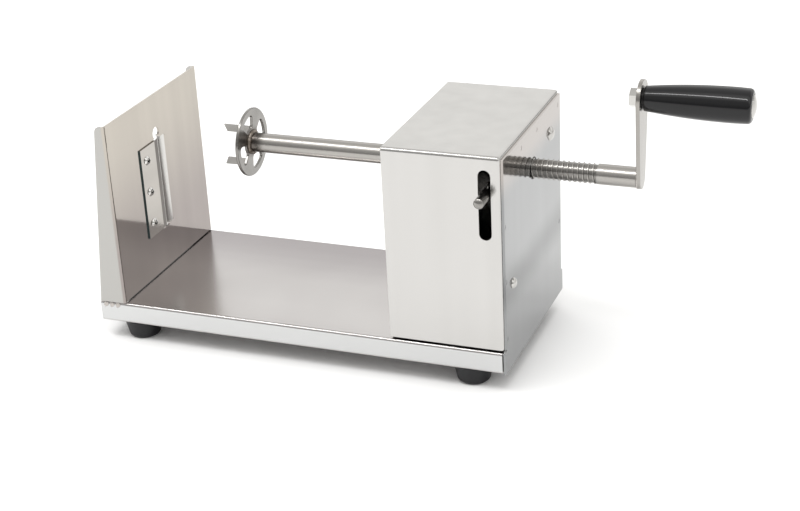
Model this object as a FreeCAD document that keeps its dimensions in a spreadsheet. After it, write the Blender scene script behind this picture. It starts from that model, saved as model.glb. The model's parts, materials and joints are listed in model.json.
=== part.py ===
"""Hand-cranked spiral potato cutter in folded stainless sheet.

X runs along the spindle, from the blade (-) to the crank (+). Y runs into the depth, with the
lever slot on the -Y side. Z is up. The origin is the middle of the base, on the table.
"""
import FreeCAD
import Part
import Sketcher

import math
import os
import re

Vector = FreeCAD.Vector

document = FreeCAD.newDocument("potato_cutter")
sheet = document.addObject("Spreadsheet::Sheet", "sizes")

# Driving dimensions in millimetres, degrees and counts
SIZES = {
    # base tray and its feet
    "base_length": 350.0, "base_width": 158.0, "base_height": 18.0, "base_sheet": 1.5,
    "base_bend": 2.5, "lip_width": 26.0,
    "foot_height": 16.0, "foot_top_radius": 16.0, "foot_bottom_radius": 13.5,
    "foot_round": 4.0, "foot_end_inset": 29.0, "foot_side_inset": 17.0,
    "foot_recess_radius": 6.5, "foot_recess_depth": 9.0,
    "foot_screw_radius": 2.5, "foot_screw_head_radius": 4.6, "foot_screw_head_height": 3.0,
    "foot_washer_radius": 6.0, "foot_washer_thickness": 1.0,
    "foot_nut_across": 8.0, "foot_nut_height": 4.0, "screw_hole_play": 0.2, "screw_end": 1.0,
    # blade panel
    "panel_setback": 24.0, "panel_rise": 155.0, "panel_foot_gap": 1.0, "panel_sheet": 1.5, "panel_bend": 2.0,
    "panel_flange_top": 8.5, "panel_flange_foot": 23.5, "panel_ear_round": 5.0,
    "panel_weld_leg": 2.0, "panel_weld_length": 19.0, "panel_weld_gap": 1.0,
    "ramp_width": 9.6, "ramp_depth": 2.4, "slice_gap": 4.8, "ramp_rim": 1.5,
    "ramp_corner": 7.0, "skewer_hole_play": 0.1,
    # cutting blade, placed from the spindle axis
    "blade_thickness": 1.2, "blade_width": 31.0, "blade_height": 79.0,
    "blade_past_axis": 0.8, "bevel_width": 6.8, "edge_land": 0.2, "blade_under_edge": 5.3,
    "blade_screw_offset": 21.0, "blade_screw_pitch": 28.0, "blade_screw_radius": 2.0,
    "blade_screw_head_radius": 4.0, "blade_screw_head_height": 2.6, "blade_screw_length": 7.5,
    "cross_length": 5.0, "cross_width": 1.2, "cross_depth": 1.7,
    "blade_nut_across": 7.0, "blade_nut_height": 3.2,
    # spindle axis above the base
    "axis_rise": 122.0,
    # drive housing
    "box_length": 92.5, "box_side_step": 1.0, "box_rise": 159.5, "box_sheet": 1.2,
    "box_gap": 2.0, "box_bend": 3.0, "box_edge_bend": 2.4, "box_flange": 12.0,
    "end_gap": 1.0, "end_sheet": 2.0, "end_edge_inset": 2.6, "end_foot_step": 2.0,
    "spot_radius": 1.8, "spot_depth": 0.15, "spot_drop": 9.8, "spot_inset": 4.2,
    "wall_inset": 0.5, "wall_foot": 14.0, "wall_foot_inset": 8.0,
    "slot_width": 9.8, "slot_top": 148.8, "slot_bottom": 93.0,
    "bush_radius": 11.0, "bush_flange_radius": 14.0, "bush_flange": 2.5, "bush_length": 10.0,
    "bush_play": 0.1, "plate_hole_play": 0.8,
    # spindle
    "tube_radius": 8.0, "bore_radius": 5.0, "tube_length": 321.2, "fork_gap": 90.3,
    "thread_pitch": 4.0, "thread_turns": 34.5, "thread_back_turns": 18.5,
    "thread_root_radius": 7.1, "ridge_foot": 1.5, "ridge_crest": 0.7,
    "groove_lead": 2.0, "groove_tail": 1.5,
    "weld_leg": 2.0,
    # fork
    "fork_radius": 28.2, "fork_sheet": 2.5, "fork_edge_round": 0.7, "fork_window_inner": 11.5,
    "fork_window_outer": 22.5, "fork_window_span": 48.0, "fork_window_turn": -6.0,
    "fork_window_round": 2.5,
    "prong_length": 23.0, "prong_slant": 2.5, "prong_sheet": 1.5, "prong_offset": 1.5,
    "inner_prong_low": 7.0, "inner_prong_high": 13.0,
    "outer_prong_low": 14.5, "outer_prong_high": 20.5,
    # crank arm and its grip
    "arm_sheet": 3.0, "crank_radius": 63.3, "arm_weld_leg": 0.6, "arm_eye_radius": 14.0,
    "bolt_radius": 4.0, "shoulder_radius": 4.6, "bolt_play": 0.1,
    "grip_nut_across": 13.0, "grip_nut_height": 6.8,
    "grip_washer_radius": 7.5, "grip_washer_thickness": 1.0,
    "grip_length": 79.0, "grip_gap": 0.2, "grip_neck_radius": 9.4, "grip_belly_radius": 13.3,
    "grip_end_radius": 12.9, "grip_belly_place": 56.0, "grip_neck_sweep": 500.0,
    "grip_tail_sweep": 300.0, "grip_end_round": 3.4, "grip_recess_depth": 3.0,
    "cap_radius": 8.8, "cap_play": 0.3, "cap_skirt": 3.2, "cap_dome": 2.2,
    # release lever, its pin, pivot and spring
    "lever_sheet": 1.2, "lever_setback": 12.0, "lever_pivot_radius": 9.0,
    "lever_nose_radius": 7.5, "pivot_inset": 30.5, "pivot_rise": 10.8,
    "nose_inset": 14.0, "nose_rise": 6.0, "notch_play": 0.15, "notch_height": 5.3,
    "notch_half_width": 9.5,
    "pin_radius": 4.0, "pin_reach": 14.0, "pin_dome": 1.8, "pin_root_inset": 16.0,
    "pivot_screw_radius": 3.0, "pivot_head_radius": 6.0, "pivot_head_height": 3.2,
    "pivot_spacer_radius": 5.0, "pivot_play": 0.1,
    "pivot_washer_radius": 6.0, "pivot_washer_thickness": 1.6,
    "pivot_nut_across": 10.0, "pivot_nut_height": 5.0,
    "anchor_inset": 21.4, "anchor_drop": 71.9, "anchor_radius": 2.5,
    "anchor_head_radius": 4.6, "anchor_head_height": 2.8, "anchor_length": 14.0,
    "anchor_nut_across": 8.0, "anchor_nut_height": 4.0,
    "post_radius": 1.5, "post_rise": 5.0, "post_length": 4.2, "post_head_radius": 2.4,
    "post_head": 0.8,
    "spring_wire_radius": 0.5, "spring_coil_radius": 3.2, "spring_eye_radius": 3.5,
    "spring_turns": 20.0, "spring_setback": 6.0, "spring_play": 0.05,
}

for row, (alias, value) in enumerate(SIZES.items(), start=1):
    sheet.set(f"A{row}", alias)
    sheet.set(f"B{row}", str(value))
    sheet.setAlias(f"B{row}", alias)
document.recompute()

# Places that several pieces share, as expressions of the sizes
BASE_TOP = "(foot_height + base_height)"
AXIS = f"({BASE_TOP} + axis_rise)"
LEFT_END = "(-base_length / 2)"
PANEL_FACE = f"({LEFT_END} + panel_setback)"
PANEL_BACK = f"({PANEL_FACE} - panel_sheet)"
PANEL_TOP = f"({BASE_TOP} + panel_rise)"
PLATE_FACE = "(base_length / 2 + end_gap)"
PLATE_OUTSIDE = f"({PLATE_FACE} + end_sheet)"
BOX_LEFT = f"({PLATE_FACE} - box_length)"
BOX_TOP = f"({BASE_TOP} + box_rise)"
COVER_SIDE = "(base_width / 2 - box_side_step)"
LEVER_X = f"({PLATE_FACE} - lever_setback)"
PIVOT_Y = f"({COVER_SIDE} - pivot_inset)"
NOSE_Y = f"(nose_inset - {COVER_SIDE})"
PIN_ROOT_Y = f"(pin_root_inset - {COVER_SIDE})"
ANCHOR_Y = f"(anchor_inset - {COVER_SIDE})"
FORK_FACE = f"({PANEL_FACE} + fork_gap)"
FORK_BACK = f"({FORK_FACE} - fork_sheet)"
ARM_FACE = f"({FORK_FACE} + tube_length)"
ARM_OUTSIDE = f"({ARM_FACE} + arm_sheet)"
THREAD_START = f"({LEVER_X} - thread_back_turns * thread_pitch)"
GRIP_START = f"({ARM_OUTSIDE} + grip_washer_thickness + grip_gap)"
GRIP_END = f"({GRIP_START} + grip_length)"
GRIP_AXIS = f"({AXIS} + crank_radius)"
BLADE_TOP = f"({AXIS} - blade_under_edge)"
BLADE_FOOT = f"({BLADE_TOP} - blade_height)"

ALIAS = re.compile(r"[a-z]+(?:_[a-z]+)*")


def linked(expression):
    """The expression with every size named through the sheet."""
    return ALIAS.sub(lambda m: f"sizes.{m.group(0)}" if m.group(0) in SIZES else m.group(0), expression)


def number(expression):
    """The expression's value in the present document."""
    return float(sheet.evalExpression(expression))


def bind(thing, prop, expression):
    thing.setExpression(prop, linked(expression))


# Sketches, slabs and turned pieces
PLANES = {"X": "YZ_Plane", "Y": "XZ_Plane", "Z": "XY_Plane"}


def new_body(name):
    return document.addObject("PartDesign::Body", name)


def new_sketch(body, name, normal, place="0"):
    """A sketch square to one axis, at a place along it. Its own axes are the other two, in X, Y, Z order."""
    sketch = body.newObject("Sketcher::SketchObject", name)
    origin_plane = [f for f in body.Origin.OriginFeatures if f.Role == PLANES[normal]][0]
    sketch.AttachmentSupport = [(origin_plane, "")]
    sketch.MapMode = "FlatFace"
    side = "-" if normal == "Y" else ""
    bind(sketch, "AttachmentOffset.Base.z", f"{side}({place})")
    return sketch


def fix_point(sketch, geometry, end, across, up):
    for kind, expression in (("DistanceX", across), ("DistanceY", up)):
        index = sketch.addConstraint(Sketcher.Constraint(kind, -1, 1, geometry, end, number(expression)))
        bind(sketch, f"Constraints[{index}]", expression)


def arc_between(first, last, radius, side):
    """The shorter arc, drawn counterclockwise. It bows to the left of the way from first to last
    with side 1, to the right with -1."""
    half = last.sub(first).multiply(0.5)
    left = Vector(-half.y, half.x, 0).normalize()
    reach = math.sqrt(max(radius ** 2 - half.Length ** 2, 0.0))
    crown = first.add(half).add(left.multiply(side * (radius - reach)))
    return Part.Arc(last, crown, first) if side > 0 else Part.Arc(first, crown, last)


def outline(sketch, corners):
    """A closed outline. A corner is (across, up), or (across, up, radius, side) where an arc leaves it."""
    spots = [Vector(number(c[0]), number(c[1]), 0) for c in corners]
    ends = []
    for i, corner in enumerate(corners):
        first, last = spots[i], spots[(i + 1) % len(spots)]
        if len(corner) == 2:
            index = sketch.addGeometry(Part.LineSegment(first, last), False)
            ends.append((index, 1, 2))
        else:
            index = sketch.addGeometry(arc_between(first, last, number(corner[2]), corner[3]), False)
            ends.append((index, 2, 1) if corner[3] > 0 else (index, 1, 2))
    for i, (index, start, stop) in enumerate(ends):
        following, its_start, _ = ends[(i + 1) % len(ends)]
        sketch.addConstraint(Sketcher.Constraint("Coincident", index, stop, following, its_start))
    for (index, start, _), corner in zip(ends, corners):
        fix_point(sketch, index, start, corner[0], corner[1])
        if len(corner) > 2:
            size = sketch.addConstraint(Sketcher.Constraint("Radius", index, number(corner[2])))
            bind(sketch, f"Constraints[{size}]", corner[2])


def rectangle(sketch, left, right, low, high):
    outline(sketch, [(left, low), (right, low), (right, high), (left, high)])


def circle(sketch, across, up, radius):
    shape = Part.Circle(Vector(number(across), number(up), 0), Vector(0, 0, 1), number(radius))
    index = sketch.addGeometry(shape, False)
    fix_point(sketch, index, 3, across, up)
    size = sketch.addConstraint(Sketcher.Constraint("Radius", index, number(radius)))
    bind(sketch, f"Constraints[{size}]", radius)


def strap(sketch, first, first_radius, last, last_radius):
    """The outline of a belt round two circles, each given by its centre and radius."""
    one = Vector(number(first[0]), number(first[1]), 0)
    two = Vector(number(last[0]), number(last[1]), 0)
    small, large = number(first_radius), number(last_radius)
    way = two.sub(one)
    heading = math.atan2(way.y, way.x)
    lean = math.acos((small - large) / way.Length)

    def rim(centre, radius, angle):
        return centre.add(Vector(radius * math.cos(angle), radius * math.sin(angle), 0))

    right, left = heading - lean, heading + lean
    lines = [
        Part.LineSegment(rim(one, small, right), rim(two, large, right)),
        Part.LineSegment(rim(two, large, left), rim(one, small, left)),
    ]
    up = Vector(0, 0, 1)
    arcs = [
        Part.ArcOfCircle(Part.Circle(two, up, large), right, left),
        Part.ArcOfCircle(Part.Circle(one, up, small), left, right + 2 * math.pi),
    ]
    for shape in (lines[0], arcs[0], lines[1], arcs[1]):
        sketch.addGeometry(shape, False)
    for i in range(4):
        sketch.addConstraint(Sketcher.Constraint("Tangent", i, 2, (i + 1) % 4, 1))
    for index, centre, radius in ((1, last, last_radius), (3, first, first_radius)):
        fix_point(sketch, index, 3, centre[0], centre[1])
        size = sketch.addConstraint(Sketcher.Constraint("Radius", index, number(radius)))
        bind(sketch, f"Constraints[{size}]", radius)


def extrude(body, kind, sketch, thickness):
    feature = body.newObject(f"PartDesign::{kind}", f"{sketch.Name}_{kind.lower()}")
    feature.Profile = sketch
    feature.SideType = "Symmetric"
    bind(feature, "Length", thickness)
    sketch.Visibility = False
    return feature


def pad(body, name, normal, middle, thickness, draw, *details):
    """Metal of a thickness about a middle plane, in the outline that draw makes."""
    sketch = new_sketch(body, name, normal, middle)
    draw(sketch, *details)
    return extrude(body, "Pad", sketch, thickness)


def cut(body, name, normal, middle, thickness, draw, *details):
    sketch = new_sketch(body, name, normal, middle)
    draw(sketch, *details)
    return extrude(body, "Pocket", sketch, thickness)


def round_edges(body, name, radius, wanted):
    """A fillet on the edges whose middle point and direction pass the test."""
    document.recompute()
    base = body.Tip
    names = []
    for i, edge in enumerate(base.Shape.Edges, start=1):
        halfway = (edge.FirstParameter + edge.LastParameter) / 2
        if wanted(edge.valueAt(halfway), edge.tangentAt(halfway)):
            names.append(f"Edge{i}")
    fillet = body.newObject("PartDesign::Fillet", name)
    fillet.Base = (base, names)
    bind(fillet, "Radius", radius)
    return fillet


def near(value, expression, slack=0.01):
    return abs(value - number(expression)) < slack


def turned(name, profile, place=("0", "0", "0"), upright=False):
    """A piece turned about X, or about Z when upright, from (along, radius) corners, at a place."""
    body = new_body(name)
    sketch = new_sketch(body, f"{name}_profile", "Y")
    outline(sketch, profile)
    turn = body.newObject("PartDesign::Revolution", f"{name}_turn")
    turn.Profile = sketch
    turn.ReferenceAxis = (sketch, ["H_Axis"])
    turn.Angle = 360
    sketch.Visibility = False
    if upright:
        body.Placement = FreeCAD.Placement(Vector(), FreeCAD.Rotation(Vector(0, 1, 0), -90))
    for letter, expression in zip("xyz", place):
        bind(body, f"Placement.Base.{letter}", expression)
    return body


def ring(name, start, stop, inner, outer, place=("0", "0", "0"), upright=False):
    corners = [(start, inner), (stop, inner), (stop, outer), (start, outer)]
    return turned(name, corners, place, upright)


def dome_radius(radius, height):
    return f"(({radius})^2 + ({height})^2) / (2 * ({height}))"


def round_screw(name, head, head_height, shank, start, stop, place, upright=False):
    """A screw whose domed head stands on the start plane, with its shank running to stop."""
    way = 1 if number(stop) > number(start) else -1
    crown = f"({start}) - {way} * ({head_height})"
    corners = [(stop, "0"), (crown, "0", dome_radius(head, head_height), way), (start, head),
               (start, shank), (stop, shank)]
    return turned(name, corners, place, upright)


def hexagon(sketch, centre, across):
    y, z = centre
    flat, point, half = f"({across}) / 2", f"({across}) / sqrt(3)", f"({across}) / (2 * sqrt(3))"
    outline(sketch, [
        (f"{y} + {flat}", f"{z} - {half}"), (f"{y} + {flat}", f"{z} + {half}"),
        (y, f"{z} + {point}"), (f"{y} - {flat}", f"{z} + {half}"),
        (f"{y} - {flat}", f"{z} - {half}"), (y, f"{z} - {point}"),
    ])


def hex_nut(name, normal, start, height, across, hole, centre):
    """A hexagon nut from its start plane along +normal, round a hole at a centre in the plane."""
    body = new_body(name)
    middle = f"({start}) + ({height}) / 2"
    pad(body, f"{name}_outline", normal, middle, height, hexagon, centre, across)
    cut(body, f"{name}_hole", normal, middle, f"2 * ({height})", circle, *centre, hole)
    return body


NODES = {}


def node(name, *pieces):
    """Names one node: a single piece, or like pieces kept as separate solids."""
    if len(pieces) == 1:
        whole = pieces[0]
    else:
        whole = document.addObject("Part::Compound", name)
        whole.Links = list(pieces)
    whole.Label = name
    NODES[name] = whole


# Base tray: one folded sheet with side flanges, inward lips under them and a left end flange
SIDE = "(base_width / 2)"
TRAY_INSIDE = f"({BASE_TOP} - base_sheet)"
FOOT_X = "(base_length / 2 - foot_end_inset)"
FOOT_Y = "(base_width / 2 - foot_side_inset)"
LIP_TOP = "(foot_height + base_sheet)"
CORNERS = [(-1, -1), (1, -1), (1, 1), (-1, 1)]


def tray_section(sketch):
    inner = f"{SIDE} - base_sheet"
    lip = f"{SIDE} - lip_width"
    outline(sketch, [
        (f"-({SIDE})", "foot_height"), (f"-({lip})", "foot_height"), (f"-({lip})", LIP_TOP),
        (f"-({inner})", LIP_TOP), (f"-({inner})", TRAY_INSIDE), (inner, TRAY_INSIDE),
        (inner, LIP_TOP), (lip, LIP_TOP), (lip, "foot_height"), (SIDE, "foot_height"),
        (SIDE, BASE_TOP), (f"-({SIDE})", BASE_TOP),
    ])


tray = new_body("base_tray_body")
pad(tray, "tray_section", "X", "0", "base_length", tray_section)
round_edges(tray, "tray_bends", "base_bend",
            lambda p, d: abs(d.x) > 0.9 and near(abs(p.y), SIDE)
            and (near(p.z, BASE_TOP) or near(p.z, "foot_height")))
pad(tray, "tray_left_end", "X", f"{LEFT_END} + base_sheet / 2", "base_sheet", rectangle,
    f"-({SIDE}) + base_bend", f"{SIDE} - base_bend", "foot_height", f"{BASE_TOP} - base_sheet / 2")
pad(tray, "tray_right_tongue", "Z", f"{BASE_TOP} - base_sheet / 2", "base_sheet", rectangle,
    "base_length / 2 - base_sheet", PLATE_FACE, f"-({SIDE}) + base_bend * 2", f"{SIDE} - base_bend * 2")


def foot_holes(sketch):
    for sx, sy in CORNERS:
        circle(sketch, f"{sx} * {FOOT_X}", f"{sy} * {FOOT_Y}", "foot_screw_radius + screw_hole_play")


cut(tray, "tray_foot_holes", "Z", "foot_height + base_sheet / 2", "base_sheet * 2", foot_holes)
node("base_tray", tray)

# Feet: rubber cups on steel washers, each held by a screw with its nut on the lip
feet, foot_washers, foot_screws, foot_nuts = [], [], [], []
for count, (sx, sy) in enumerate(CORNERS, start=1):
    spot = (f"{sx} * {FOOT_X}", f"{sy} * {FOOT_Y}", "0")
    rim = "(foot_bottom_radius - foot_round)"
    feet.append(turned(f"foot_{count}", [
        ("0", "foot_recess_radius"), ("foot_recess_depth", "foot_recess_radius"),
        ("foot_recess_depth", "foot_screw_radius + screw_hole_play"),
        ("foot_height", "foot_screw_radius + screw_hole_play"),
        ("foot_height", "foot_top_radius"),
        ("foot_round", "foot_bottom_radius", "foot_round", -1), ("0", rim),
    ], spot, upright=True))
    washer_top = "foot_recess_depth"
    washer_foot = f"({washer_top} - foot_washer_thickness)"
    foot_washers.append(ring(f"foot_washer_{count}", washer_foot, washer_top,
                             "foot_screw_radius + screw_hole_play", "foot_washer_radius", spot, upright=True))
    foot_screws.append(round_screw(
        f"foot_screw_{count}", "foot_screw_head_radius", "foot_screw_head_height", "foot_screw_radius",
        washer_foot, f"{LIP_TOP} + foot_nut_height + screw_end", spot, upright=True))
    foot_nuts.append(hex_nut(f"foot_nut_{count}", "Z", LIP_TOP, "foot_nut_height", "foot_nut_across",
                             "foot_screw_radius", spot[:2]))
node("rubber_feet", *feet)
node("foot_washers", *foot_washers)
node("foot_screws", *foot_screws)
node("foot_nuts", *foot_nuts)

# Blade panel: an upright sheet with tapered side flanges, a slicing slit and a pressed-back run-in ramp
EDGE_Y = "blade_past_axis"
RAMP_LIP = f"({EDGE_Y} + slice_gap)"
RAMP_END = f"({RAMP_LIP} + ramp_width)"
SLIT_TOP = f"({BLADE_TOP} + ramp_rim)"
SLIT_FOOT = f"({BLADE_FOOT} - ramp_rim)"
SCREW_Y = "(-blade_screw_offset)"
MIDDLE_SCREW_Z = f"({BLADE_TOP} + {BLADE_FOOT}) / 2"


def panel_flange(sketch):
    outline(sketch, [
        (PANEL_FACE, BASE_TOP), (f"{PANEL_FACE} - panel_flange_foot", BASE_TOP),
        (f"{PANEL_FACE} - panel_flange_top", PANEL_TOP), (PANEL_FACE, PANEL_TOP),
    ])


def slit_window(sketch):
    left, turn = f"{EDGE_Y} - blade_under_edge", f"({RAMP_END} - ramp_corner)"
    outline(sketch, [
        (left, SLIT_FOOT), (turn, SLIT_FOOT, "ramp_corner", -1), (RAMP_END, f"{SLIT_FOOT} + ramp_corner"),
        (RAMP_END, f"{SLIT_TOP} - ramp_corner", "ramp_corner", -1), (turn, SLIT_TOP), (left, SLIT_TOP),
    ])


def ramp_bow(offset="0"):
    """Radius of an arc that leaves the panel's plane smoothly and ends at the ramp's lip."""
    return f"((ramp_depth^2 + ramp_width^2) / (2 * ramp_depth) + ({offset}))"


def ramp_section(sketch):
    lip_x = f"{PANEL_FACE} - ramp_depth"
    outline(sketch, [
        (PANEL_FACE, f"{RAMP_END} + panel_sheet"), (PANEL_FACE, RAMP_END, ramp_bow(), 1),
        (lip_x, RAMP_LIP), (f"{lip_x} - panel_sheet", RAMP_LIP, ramp_bow("panel_sheet"), -1),
        (PANEL_BACK, f"{RAMP_END} + panel_sheet"),
    ])


def ramp_shoulder(sketch):
    outline(sketch, [
        (PANEL_FACE, RAMP_END, ramp_bow(), 1), (f"{PANEL_FACE} - ramp_depth", RAMP_LIP),
        (PANEL_FACE, RAMP_LIP),
    ])


def blade_screw_holes(sketch):
    for step in (-1, 0, 1):
        circle(sketch, SCREW_Y, f"{MIDDLE_SCREW_Z} + {step} * blade_screw_pitch",
               "blade_screw_radius + screw_hole_play")


panel = new_body("blade_panel_body")
pad(panel, "panel_web", "X", f"{PANEL_FACE} - panel_sheet / 2", "panel_sheet", rectangle,
    f"-({SIDE})", SIDE, f"{BASE_TOP} + panel_foot_gap", PANEL_TOP)
for side_name, sign in (("front", -1), ("back", 1)):
    pad(panel, f"panel_{side_name}_flange", "Y", f"{sign} * ({SIDE} - panel_sheet / 2)", "panel_sheet",
        panel_flange)
round_edges(panel, "panel_bends", "panel_bend",
            lambda p, d: abs(d.z) > 0.9 and near(p.x, PANEL_FACE) and near(abs(p.y), SIDE))
round_edges(panel, "panel_ears", "panel_ear_round",
            lambda p, d: abs(d.y) > 0.9 and near(p.z, PANEL_TOP)
            and near(p.x, f"{PANEL_FACE} - panel_flange_top"))
cut(panel, "panel_window", "X", f"{PANEL_FACE} - panel_sheet / 2", "panel_sheet * 2", slit_window)
pad(panel, "panel_ramp", "Z", f"({SLIT_TOP} + {SLIT_FOOT}) / 2", f"{SLIT_TOP} - {SLIT_FOOT}", ramp_section)
for end_name, middle in (("top", f"{SLIT_TOP} - ramp_rim / 2"), ("foot", f"{SLIT_FOOT} + ramp_rim / 2")):
    pad(panel, f"panel_shoulder_{end_name}", "Z", middle, "ramp_rim", ramp_shoulder)
cut(panel, "panel_skewer_hole", "X", f"{PANEL_FACE} - ramp_depth / 2", "ramp_depth * 2 + panel_sheet * 2",
    circle, "0", AXIS, "bore_radius + skewer_hole_play")
cut(panel, "panel_screw_holes", "X", f"{PANEL_FACE} - panel_sheet / 2", "panel_sheet * 2", blade_screw_holes)
node("blade_panel", panel)

# Weld beads along the inside of the panel's flanges, where they stand on the base


def weld_section(sketch, sign):
    inside = f"{sign} * ({SIDE} - panel_sheet)"
    outline(sketch, [
        (inside, BASE_TOP), (f"{inside} - {sign} * panel_weld_leg", BASE_TOP),
        (inside, f"{BASE_TOP} + panel_weld_leg"),
    ])


beads = []
for side_name, sign in (("front", -1), ("back", 1)):
    bead = new_body(f"panel_weld_{side_name}")
    pad(bead, f"panel_weld_{side_name}_section", "X",
        f"{PANEL_BACK} - panel_weld_gap - panel_weld_length / 2", "panel_weld_length", weld_section, sign)
    beads.append(bead)
node("panel_welds", *beads)

# Cutting blade: a flat plate whose ground bevel ends on the spindle's radius


def blade_section(sketch):
    front = f"{PANEL_FACE} + blade_thickness"
    outline(sketch, [
        (PANEL_FACE, f"{EDGE_Y} - blade_width"), (PANEL_FACE, EDGE_Y),
        (f"{PANEL_FACE} + edge_land", EDGE_Y), (front, f"{EDGE_Y} - bevel_width"),
        (front, f"{EDGE_Y} - blade_width"),
    ])


blade = new_body("cutting_blade_body")
pad(blade, "blade_section", "Z", f"({BLADE_TOP} + {BLADE_FOOT}) / 2", "blade_height", blade_section)
cut(blade, "blade_holes", "X", PANEL_FACE, "blade_thickness * 4", blade_screw_holes)
node("cutting_blade", blade)


def cross_recess(sketch):
    half, arm = "cross_width / 2", "cross_length / 2"
    outline(sketch, [
        (arm, f"-{half}"), (arm, half), (half, half), (half, arm), (f"-{half}", arm), (f"-{half}", half),
        (f"-{arm}", half), (f"-{arm}", f"-{half}"), (f"-{half}", f"-{half}"), (f"-{half}", f"-{arm}"),
        (half, f"-{arm}"), (half, f"-{half}"),
    ])


blade_screws, blade_nuts = [], []
for count, step in enumerate((-1, 0, 1), start=1):
    height = f"{MIDDLE_SCREW_Z} + {step} * blade_screw_pitch"
    seat = f"{PANEL_FACE} + blade_thickness"
    screw = round_screw(f"blade_screw_{count}", "blade_screw_head_radius", "blade_screw_head_height",
                        "blade_screw_radius", "0", "-blade_screw_length", (seat, SCREW_Y, height))
    cut(screw, f"blade_screw_{count}_recess", "X", "blade_screw_head_height", "cross_depth * 2", cross_recess)
    blade_screws.append(screw)
    blade_nuts.append(hex_nut(f"blade_nut_{count}", "X", f"{PANEL_BACK} - blade_nut_height",
                              "blade_nut_height", "blade_nut_across", "blade_screw_radius",
                              (SCREW_Y, height)))
node("blade_screws", *blade_screws)
node("blade_nuts", *blade_nuts)

# Housing cover: front, top and back in one folded sheet, with flanges turned in at the right end
COVER_FOOT = f"({BASE_TOP} + box_gap)"


def arch(sketch, foot, out, inn):
    """An upside-down U between an outer and an inner offset from the cover's outside."""
    outline(sketch, [
        (f"-({COVER_SIDE} - {out})", foot), (f"-({COVER_SIDE} - {inn})", foot),
        (f"-({COVER_SIDE} - {inn})", f"{BOX_TOP} - {inn}"), (f"{COVER_SIDE} - {inn}", f"{BOX_TOP} - {inn}"),
        (f"{COVER_SIDE} - {inn}", foot), (f"{COVER_SIDE} - {out}", foot),
        (f"{COVER_SIDE} - {out}", f"{BOX_TOP} - {out}"), (f"-({COVER_SIDE} - {out})", f"{BOX_TOP} - {out}"),
    ])


cover = new_body("housing_cover_body")
pad(cover, "cover_shell", "X", f"({BOX_LEFT} + {PLATE_FACE}) / 2", "box_length", arch,
    COVER_FOOT, "0", "box_sheet")
pad(cover, "cover_flanges", "X", f"{PLATE_FACE} - box_sheet / 2", "box_sheet", arch,
    COVER_FOOT, "0", "box_flange")
round_edges(cover, "cover_long_bends", "box_bend",
            lambda p, d: abs(d.x) > 0.9 and near(abs(p.y), COVER_SIDE) and near(p.z, BOX_TOP))
round_edges(cover, "cover_end_bends", "box_edge_bend",
            lambda p, d: near(p.x, PLATE_FACE)
            and (near(abs(p.y), COVER_SIDE) or near(p.z, BOX_TOP)
                 or (abs(p.y) > number(f"{COVER_SIDE} - box_bend")
                     and p.z > number(f"{BOX_TOP} - box_bend"))))
cut(cover, "cover_slot", "Y", f"-({COVER_SIDE})", "box_sheet * 4", strap,
    (LEVER_X, f"{BASE_TOP} + slot_bottom + slot_width / 2"), "slot_width / 2",
    (LEVER_X, f"{BASE_TOP} + slot_top - slot_width / 2"), "slot_width / 2")
node("housing_cover", cover)

# Inner wall: closes the housing's left end, stands on a turned-out foot and carries the front bush
WALL_X = f"({BOX_LEFT} + wall_inset)"
WALL_SIDE = f"({COVER_SIDE} - box_sheet)"
wall = new_body("inner_wall_body")
pad(wall, "wall_web", "X", f"{WALL_X} + box_sheet / 2", "box_sheet", rectangle,
    f"-({WALL_SIDE})", WALL_SIDE, BASE_TOP, f"{BOX_TOP} - box_sheet")
pad(wall, "wall_foot", "Z", f"{BASE_TOP} + box_sheet / 2", "box_sheet", rectangle,
    WALL_X, f"{WALL_X} + wall_foot", f"wall_foot_inset - {WALL_SIDE}", f"{WALL_SIDE} - wall_foot_inset")
round_edges(wall, "wall_corners", "box_bend - box_sheet",
            lambda p, d: abs(d.x) > 0.9 and near(abs(p.y), WALL_SIDE) and near(p.z, f"{BOX_TOP} - box_sheet"))
cut(wall, "wall_hole", "X", f"{WALL_X} + box_sheet / 2", "box_sheet * 3", circle, "0", AXIS, "bush_radius")
node("inner_wall", wall)

# End plate: one flat sheet from the housing's top to the foot of the base, with its spot-weld marks
END_SIDE = f"({COVER_SIDE} - end_edge_inset)"
END_TOP = f"({BOX_TOP} - end_edge_inset)"
SPOTS_ACROSS = [-31.0, 10.0, 68.0]
FRONT_SPOT_HEIGHTS = [103.5, 58.4, 10.9]
BACK_SPOT_HEIGHT = 48.0


def end_outline(sketch):
    outline(sketch, [
        (f"-({SIDE})", "foot_height"), (SIDE, "foot_height"), (SIDE, f"{BASE_TOP} + end_foot_step - box_gap"),
        (END_SIDE, f"{BASE_TOP} + end_foot_step"), (END_SIDE, END_TOP), (f"-({END_SIDE})", END_TOP),
        (f"-({END_SIDE})", f"{BASE_TOP} + end_foot_step"),
        (f"-({SIDE})", f"{BASE_TOP} + end_foot_step - box_gap"),
    ])


def spot_marks(sketch):
    for across in SPOTS_ACROSS:
        circle(sketch, str(across), f"{BOX_TOP} - spot_drop", "spot_radius")
    for height in FRONT_SPOT_HEIGHTS:
        circle(sketch, f"-({COVER_SIDE}) + spot_inset", f"{BASE_TOP} + {height}", "spot_radius")
    circle(sketch, f"{COVER_SIDE} - spot_inset * 2", f"{BASE_TOP} + {BACK_SPOT_HEIGHT}", "spot_radius")


PIVOT = (PIVOT_Y, f"{AXIS} + pivot_rise")
ANCHOR = (ANCHOR_Y, f"{AXIS} - anchor_drop")


def end_holes(sketch):
    circle(sketch, "0", AXIS, "tube_radius + plate_hole_play")
    circle(sketch, *PIVOT, "pivot_screw_radius + screw_hole_play")
    circle(sketch, *ANCHOR, "anchor_radius + screw_hole_play")


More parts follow.
